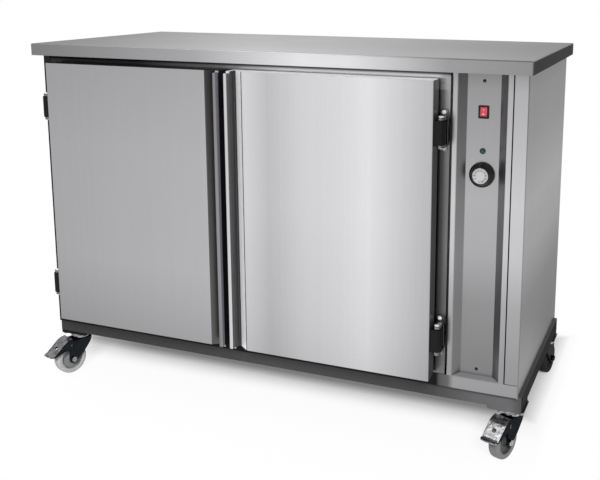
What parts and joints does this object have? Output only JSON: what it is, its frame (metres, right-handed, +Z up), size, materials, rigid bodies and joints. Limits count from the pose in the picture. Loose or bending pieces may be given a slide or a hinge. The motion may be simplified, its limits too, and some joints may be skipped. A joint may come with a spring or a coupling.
{
  "type": "hot cupboard",
  "caption": "Stainless insulated hot cupboard on braked castors, with hinged doors with full-height grips, a recessed control column with rocker switch and thermostat, and a flat worktop.",
  "frame": {"origin": "on the floor, straight below the middle of the worktop", "axes": "+X to the right seen from the front, +Y to the back, +Z up; the doors face -Y"},
  "size_m": [1.2234, 0.5796, 0.855],
  "materials": {
    "worktop_steel": "satin stainless sheet",
    "cabinet_steel": "satin stainless sheet",
    "door_steel": "satin stainless sheet, grain upright",
    "liner_steel": "plain stainless sheet",
    "core_board": "raw board",
    "base_paint": "dark grey satin paint",
    "mineral_wool": "matt fibre",
    "black_plastic": "fine matt",
    "hinge_black": "satin",
    "knob_plastic": "gloss",
    "dial_face": "printed satin face",
    "red_rocker": "translucent gloss",
    "green_lens": "translucent gloss",
    "pale_plastic": "moulded",
    "bright_screw": "bright",
    "heater_tube": "heat-tinted sheath",
    "motor_paint": "satin",
    "impeller_metal": "mill finish",
    "seal_rubber": "matt",
    "hinge_metal": "dark plated",
    "castor_zinc": "bright zinc",
    "wheel_rubber": "grey, smooth"
  },
  "bodies": {
    "cabinet": {"worktop": "worktop_steel", "worktop_core": "core_board", "left_side_panel": "cabinet_steel", "right_side_panel": "cabinet_steel", "rear_panel": "cabinet_steel", "floor_pan": "cabinet_steel", "base_frame": "base_paint", "top_rail": "cabinet_steel", "left_stile": "cabinet_steel", "centre_mullion": "cabinet_steel", "right_stile": "cabinet_steel", "left_liner": "liner_steel", "partition": "liner_steel", "rear_liner": "liner_steel", "ceiling_liner": "liner_steel", "floor_liner": "liner_steel", "insulation": "mineral_wool", "shelf_rails": "liner_steel", "left_shelf": "liner_steel", "right_shelf": "liner_steel", "control_panel": "cabinet_steel", "switch_housing": "black_plastic", "pilot_lamp": "green_lens", "thermostat": "pale_plastic", "front_screws": "bright_screw", "heating_element": "heater_tube", "fan_motor": "motor_paint", "air_baffle": "liner_steel", "cable_gland": "black_plastic", "hinge_brackets": "hinge_metal", "hinge_pins": "bright_screw", "castor_heads": "castor_zinc"},
    "left_door": {"left_door_skin": "door_steel", "left_door_core": "mineral_wool", "left_door_liner": "liner_steel", "left_door_seal": "seal_rubber", "left_knuckles": "hinge_black"},
    "right_door": {"right_door_skin": "door_steel", "right_door_core": "mineral_wool", "right_door_liner": "liner_steel", "right_door_seal": "seal_rubber", "right_knuckles": "hinge_black"},
    "rocker": {"switch_rocker": "red_rocker"},
    "knob": {"thermostat_knob": "knob_plastic", "knob_dial": "dial_face"},
    "fan": {"fan_impeller": "impeller_metal"},
    "front_left_castor": {"front_left_fork": "castor_zinc", "front_left_axle": "bright_screw"},
    "front_left_roller": {"front_left_wheel": "wheel_rubber"},
    "front_right_castor": {"front_right_fork": "castor_zinc", "front_right_axle": "bright_screw"},
    "front_right_roller": {"front_right_wheel": "wheel_rubber"},
    "rear_right_castor": {"rear_right_fork": "castor_zinc", "rear_right_axle": "bright_screw"},
    "rear_right_roller": {"rear_right_wheel": "wheel_rubber"},
    "rear_left_castor": {"rear_left_fork": "castor_zinc", "rear_left_axle": "bright_screw"},
    "rear_left_roller": {"rear_left_wheel": "wheel_rubber"},
    "front_left_brake": {"front_left_pedal": "castor_zinc"},
    "front_right_brake": {"front_right_pedal": "castor_zinc"}
  },
  "joints": [
    {"name": "left_door_hinge", "type": "hinge", "parent": "cabinet", "child": "left_door", "pos_m": [-0.5573, -0.2751, 0.4855], "axis": [0, 0, -1], "range_deg": [0, 110]},
    {"name": "right_door_hinge", "type": "hinge", "parent": "cabinet", "child": "right_door", "pos_m": [0.42, -0.2751, 0.4855], "axis": [0, 0, 1], "range_deg": [0, 110]},
    {"name": "rocker_tilt", "type": "hinge", "parent": "cabinet", "child": "rocker", "pos_m": [0.4961, -0.23, 0.746], "axis": [1, 0, 0], "range_deg": [0, 16]},
    {"name": "knob_turn", "type": "hinge", "parent": "cabinet", "child": "knob", "pos_m": [0.4961, -0.231, 0.617], "axis": [0, 1, 0], "range_deg": [0, 270]},
    {"name": "fan_spin", "type": "hinge", "parent": "cabinet", "child": "fan", "pos_m": [0.405, -0.0022, 0.4979], "axis": [1, 0, 0], "continuous": true},
    {"name": "front_left_swivel", "type": "hinge", "parent": "cabinet", "child": "front_left_castor", "pos_m": [-0.568, -0.195, 0.095], "axis": [0, 0, 1], "continuous": true},
    {"name": "front_left_roll", "type": "hinge", "parent": "front_left_castor", "child": "front_left_roller", "pos_m": [-0.57999, -0.22467, 0.04], "axis": [0.9272, -0.3746, 0], "continuous": true},
    {"name": "front_left_brake_lift", "type": "hinge", "parent": "front_left_castor", "child": "front_left_brake", "pos_m": [-0.58074, -0.22652, 0.0782], "axis": [-0.9272, 0.3746, 0], "range_deg": [0, 15]},
    {"name": "front_right_swivel", "type": "hinge", "parent": "cabinet", "child": "front_right_castor", "pos_m": [0.568, -0.195, 0.095], "axis": [0, 0, 1], "continuous": true},
    {"name": "front_right_roll", "type": "hinge", "parent": "front_right_castor", "child": "front_right_roller", "pos_m": [0.55705, -0.22507, 0.04], "axis": [0.9397, -0.342, 0], "continuous": true},
    {"name": "front_right_brake_lift", "type": "hinge", "parent": "front_right_castor", "child": "front_right_brake", "pos_m": [0.55637, -0.22695, 0.0782], "axis": [-0.9397, 0.342, 0], "range_deg": [0, 15]},
    {"name": "rear_right_swivel", "type": "hinge", "parent": "cabinet", "child": "rear_right_castor", "pos_m": [0.568, 0.203, 0.095], "axis": [0, 0, 1], "continuous": true},
    {"name": "rear_right_roll", "type": "hinge", "parent": "rear_right_castor", "child": "rear_right_roller", "pos_m": [0.57245, 0.23469, 0.04], "axis": [-0.9903, 0.1392, 0], "continuous": true},
    {"name": "rear_left_swivel", "type": "hinge", "parent": "cabinet", "child": "rear_left_castor", "pos_m": [-0.568, 0.203, 0.095], "axis": [0, 0, 1], "continuous": true},
    {"name": "rear_left_roll", "type": "hinge", "parent": "rear_left_castor", "child": "rear_left_roller", "pos_m": [-0.5719, 0.23476, 0.04], "axis": [-0.9925, -0.1219, 0], "continuous": true}
  ]
}
